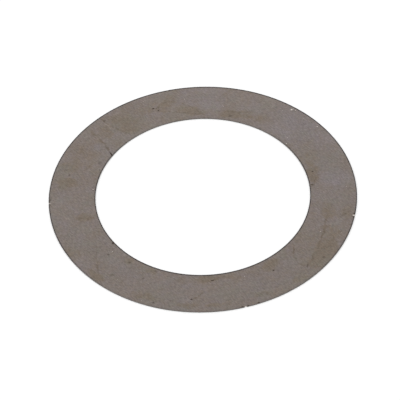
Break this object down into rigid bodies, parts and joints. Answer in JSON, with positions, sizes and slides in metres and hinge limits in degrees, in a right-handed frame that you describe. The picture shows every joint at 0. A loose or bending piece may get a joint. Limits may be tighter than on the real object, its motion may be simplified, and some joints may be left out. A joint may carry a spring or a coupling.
{
  "type": "spacer ring",
  "caption": "Thin flat steel ring with a large plain bore, slipped over a shaft or into a housing to take up end play.",
  "frame": {"origin": "centre of the lower face, on the ring's axis, in the plane that the ring lies on", "axes": "+Z along the ring's axis, out through the face with the rounded edges; the ring is round, so X and Y are free, and the marks of wear fix them"},
  "size_m": [0.0718, 0.0718, 0.0003],
  "materials": {
    "cold_rolled_steel": "bare cold-rolled strip, dull grey with thin oil and tarnish stains"
  },
  "bodies": {
    "root": {"spacer_ring": "cold_rolled_steel"}
  },
  "joints": []
}
